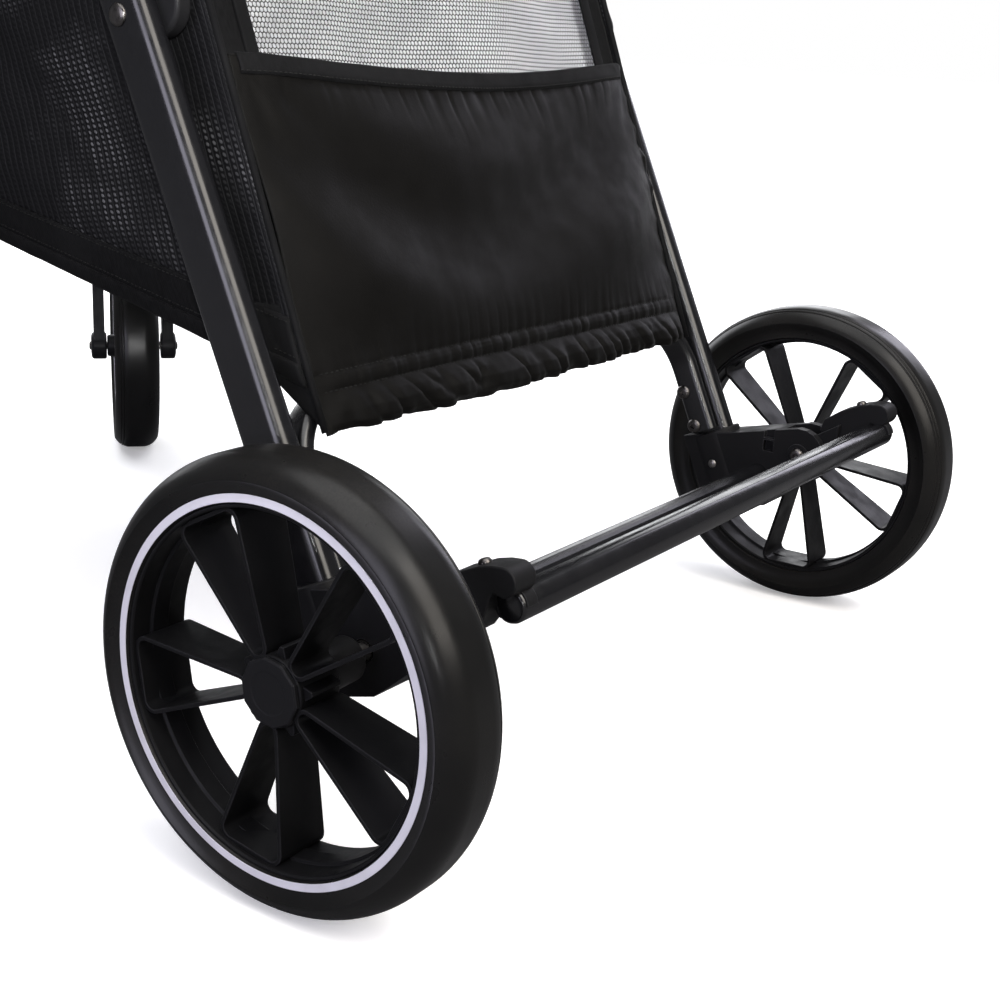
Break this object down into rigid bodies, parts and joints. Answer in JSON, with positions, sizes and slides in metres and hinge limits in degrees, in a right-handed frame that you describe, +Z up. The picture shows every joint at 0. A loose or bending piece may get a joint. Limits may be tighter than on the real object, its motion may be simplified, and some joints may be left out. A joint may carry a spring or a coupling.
{
  "type": "pet stroller",
  "caption": "Folding pet stroller with a mesh-sided cabin, hooped canopy, U-shaped push handle, swivelling front casters, spoked rear wheels and a rear foot brake.",
  "frame": {"origin": "on the floor, below the middle of the rear axle", "axes": "+X to the stroller's left, along the rear axle; +Y towards the person pushing; +Z up"},
  "size_m": [0.6795, 1.0331, 1.0054],
  "materials": {
    "rubber": "satin moulded rubber",
    "rim_plastic": "fine moulded texture",
    "moulded_plastic": "fine moulded texture",
    "black_tube": "satin black coating on metal tube",
    "steel": "zinc-plated",
    "foam": "closed-cell foam",
    "polyester": "fine woven polyester with a slight sheen",
    "mesh_fabric": "knitted mesh",
    "pad_fabric": "padded cushion cover",
    "button_plastic": "smooth moulding"
  },
  "bodies": {
    "front_frame": {"front_leg_left": "black_tube", "front_leg_right": "black_tube", "caster_housing_left": "moulded_plastic", "caster_housing_right": "moulded_plastic", "hub_lower_left": "moulded_plastic", "hub_lower_right": "moulded_plastic", "hub_pin_left": "steel", "hub_pin_right": "steel", "ring_strut_left": "black_tube", "ring_strut_right": "black_tube", "side_panel_left": "mesh_fabric", "side_panel_right": "mesh_fabric", "front_cross_tube": "black_tube", "cabin_ring": "black_tube", "rear_wall": "mesh_fabric", "rear_pocket": "polyester", "front_wall": "polyester", "cabin_floor": "polyester", "floor_pad": "pad_fabric", "canopy_bow_rear": "black_tube", "canopy_rear_panel": "mesh_fabric"},
    "rear_frame": {"rear_leg_left": "black_tube", "rear_leg_right": "black_tube", "leg_housing_left": "moulded_plastic", "leg_housing_right": "moulded_plastic", "leg_bracket_left": "moulded_plastic", "leg_bracket_right": "moulded_plastic", "brake_pivot_left": "steel", "brake_pivot_right": "steel", "brace_arch": "black_tube", "rear_axle": "steel", "axle_tube": "black_tube"},
    "brake": {"brake_lever_left": "moulded_plastic", "brake_lever_right": "moulded_plastic", "brake_bar": "black_tube"},
    "handle": {"hub_upper_left": "moulded_plastic", "hub_upper_right": "moulded_plastic", "handle_grip_left": "foam", "handle_grip_right": "foam", "handle_tube": "black_tube", "fold_switch_housing": "moulded_plastic"},
    "fold_key": {"fold_button": "button_plastic"},
    "canopy_mid": {"canopy_bow_mid": "black_tube", "canopy_mid_panel": "polyester"},
    "canopy_front": {"canopy_bow_front": "black_tube", "canopy_front_panel": "polyester"},
    "rear_wheel_left": {"rear_tyre_left": "rubber", "rear_rim_left": "rim_plastic", "rear_hub_cap_left": "moulded_plastic"},
    "caster_left": {"caster_fork_left": "moulded_plastic", "front_axle_left": "steel"},
    "front_wheel_left": {"front_tyre_left": "rubber", "front_rim_left": "rim_plastic"},
    "rear_wheel_right": {"rear_tyre_right": "rubber", "rear_rim_right": "rim_plastic", "rear_hub_cap_right": "moulded_plastic"},
    "caster_right": {"caster_fork_right": "moulded_plastic", "front_axle_right": "steel"},
    "front_wheel_right": {"front_tyre_right": "rubber", "front_rim_right": "rim_plastic"}
  },
  "joints": [
    {"name": "frame_fold", "type": "hinge", "parent": "front_frame", "child": "rear_frame", "pos_m": [0, -0.27365, 0.62], "axis": [1, 0, 0], "range_deg": [-45, 0]},
    {"name": "handle_fold", "type": "hinge", "parent": "front_frame", "child": "handle", "pos_m": [0, -0.27365, 0.62], "axis": [1, 0, 0], "range_deg": [-111, 0]},
    {"name": "fold_button_press", "type": "slide", "parent": "handle", "child": "fold_key", "axis": [0, 0.6057, -0.7957], "range_m": [0, 0.003], "stiffness_N_per_m": 400},
    {"name": "brake_press", "type": "hinge", "parent": "rear_frame", "child": "brake", "pos_m": [0, 0.031, 0.141], "axis": [1, 0, 0], "range_deg": [-25, 0]},
    {"name": "canopy_mid_fold", "type": "hinge", "parent": "front_frame", "child": "canopy_mid", "pos_m": [0, -0.3, 0.64], "axis": [1, 0, 0], "range_deg": [-25, 0], "deforming": ["canopy_mid_panel"]},
    {"name": "canopy_front_fold", "type": "hinge", "parent": "canopy_mid", "child": "canopy_front", "pos_m": [0, -0.3, 0.64], "axis": [1, 0, 0], "range_deg": [-25, 0], "deforming": ["canopy_front_panel"]},
    {"name": "rear_wheel_left_spin", "type": "hinge", "parent": "rear_frame", "child": "rear_wheel_left", "pos_m": [0.309, 0, 0.12], "axis": [1, 0, 0], "continuous": true},
    {"name": "caster_left_swivel", "type": "hinge", "parent": "front_frame", "child": "caster_left", "pos_m": [0.262, -0.744, 0.235], "axis": [0, 0, 1], "continuous": true},
    {"name": "front_wheel_left_spin", "type": "hinge", "parent": "caster_left", "child": "front_wheel_left", "pos_m": [0.2779, -0.71856, 0.105], "axis": [0.848, -0.5299, 0], "continuous": true},
    {"name": "rear_wheel_right_spin", "type": "hinge", "parent": "rear_frame", "child": "rear_wheel_right", "pos_m": [-0.309, 0, 0.12], "axis": [1, 0, 0], "continuous": true},
    {"name": "caster_right_swivel", "type": "hinge", "parent": "front_frame", "child": "caster_right", "pos_m": [-0.262, -0.744, 0.235], "axis": [0, 0, 1], "continuous": true},
    {"name": "front_wheel_right_spin", "type": "hinge", "parent": "caster_right", "child": "front_wheel_right", "pos_m": [-0.24272, -0.72102, 0.105], "axis": [0.766, -0.6428, 0], "continuous": true}
  ],
  "couplings": [
    {"joint": "handle_fold", "follows": "frame_fold", "ratio": 2.4444},
    {"joint": "canopy_front_fold", "follows": "canopy_mid_fold", "ratio": 1}
  ]
}
